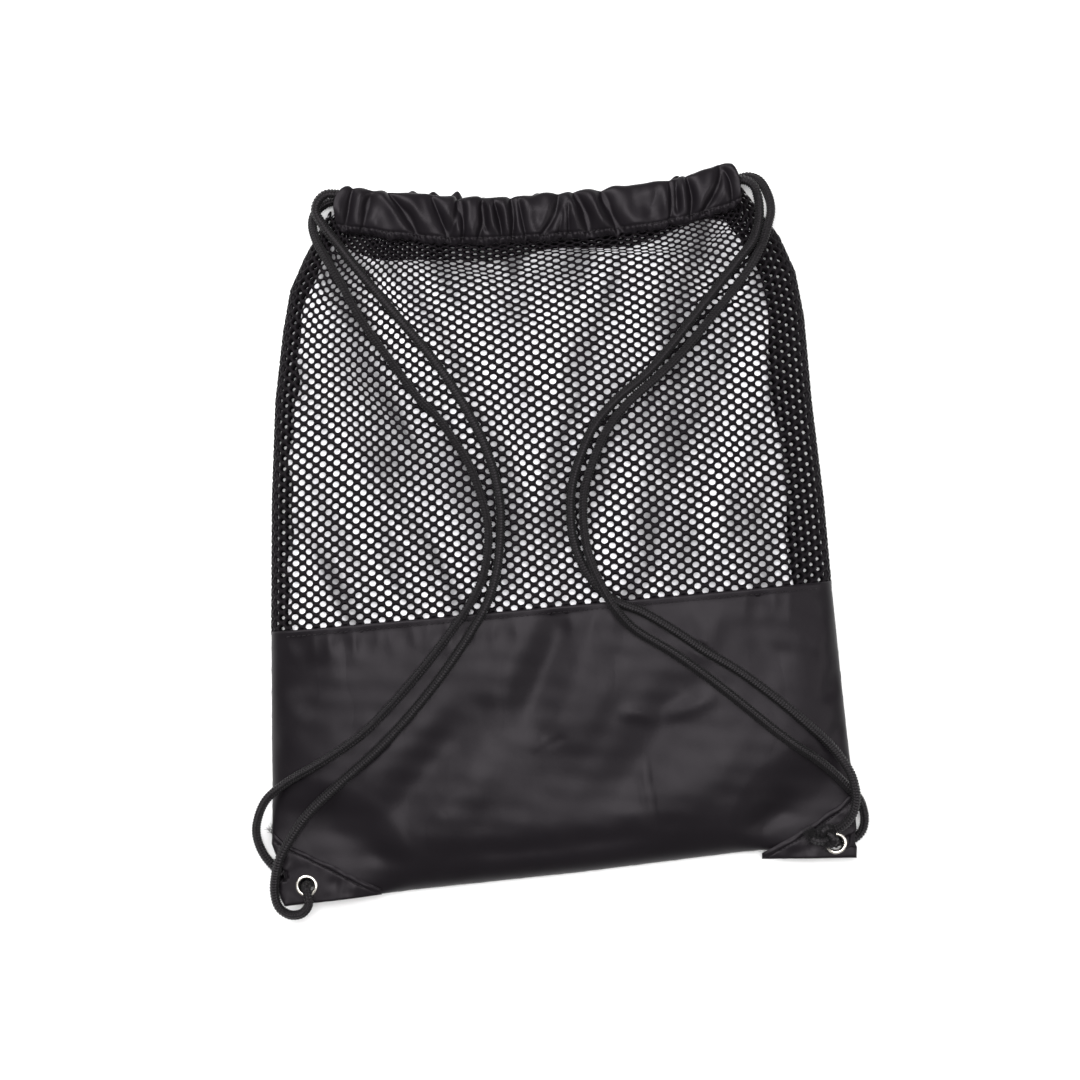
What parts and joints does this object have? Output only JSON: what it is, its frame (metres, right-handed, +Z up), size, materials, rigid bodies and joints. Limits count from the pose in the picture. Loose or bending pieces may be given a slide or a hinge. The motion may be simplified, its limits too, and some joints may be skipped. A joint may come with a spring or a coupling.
{
  "type": "drawstring backpack",
  "caption": "Flat drawstring backpack with a net front over a white liner, gathered top casing and cord straps tied through corner eyelets.",
  "frame": {"origin": "middle of the bag's body on the surface it lies on, loose cords not counted", "axes": "+X across the bag, +Y from the bottom seam towards the gathered mouth, +Z up from the back to the front of the bag"},
  "size_m": [0.3945, 0.4632, 0.0338],
  "materials": {
    "nylon": "satin woven nylon, charcoal",
    "net": "matt knitted net with oval holes, charcoal",
    "white_cloth": "matt soft cloth, white",
    "cord": "braided round cord, black",
    "thread": "sewing thread, black",
    "eyelet_metal": "polished nickel plate"
  },
  "bodies": {
    "bag": {"front_lower_panel": "nylon", "back_lower_panel": "nylon", "front_net_panel": "net", "back_net_panel": "net", "inner_liner": "white_cloth", "left_side_seam": "nylon", "right_side_seam": "nylon", "bottom_seam": "nylon", "front_hem_stitching": "thread", "front_casing": "nylon", "back_casing": "nylon", "casing_stitching": "thread", "left_corner_patch": "nylon", "right_corner_patch": "nylon", "left_patch_stitching": "thread", "right_patch_stitching": "thread", "left_eyelet": "eyelet_metal", "right_eyelet": "eyelet_metal", "left_eyelet_washer": "eyelet_metal", "right_eyelet_washer": "eyelet_metal", "left_cord_casing_run": "cord", "right_cord_casing_run": "cord", "left_inner_cord_top": "cord", "left_inner_cord_tail": "cord", "left_outer_cord_top": "cord", "left_outer_cord_tail": "cord", "right_outer_cord_top": "cord", "right_outer_cord_tail": "cord", "right_inner_cord_top": "cord", "right_inner_cord_tail": "cord", "left_eyelet_cord": "cord", "right_eyelet_cord": "cord", "left_knot": "cord", "right_knot": "cord"},
    "left_inner_strap": {"left_inner_strand": "cord"},
    "left_outer_strap": {"left_outer_strand": "cord"},
    "right_strap": {"right_outer_strand": "cord", "right_inner_strand": "cord"}
  },
  "joints": [
    {"name": "left_inner_swing", "type": "hinge", "parent": "bag", "child": "left_inner_strap", "pos_m": [-0.1223, 0.2135, 0.0178], "axis": [-0.1506, -0.9886, 0.0014], "range_deg": [0, 150]},
    {"name": "left_outer_swing", "type": "hinge", "parent": "bag", "child": "left_outer_strap", "pos_m": [-0.1256, 0.2065, 0.009], "axis": [-0.1819, -0.9833, 0.0039], "range_deg": [0, 150]},
    {"name": "right_swing", "type": "hinge", "parent": "bag", "child": "right_strap", "pos_m": [0.1626, 0.199, 0.0145], "axis": [-0.0568, 0.9983, -0.0122], "range_deg": [0, 130]}
  ],
  "couplings": [
    {"joint": "left_outer_swing", "follows": "left_inner_swing", "ratio": 1}
  ]
}
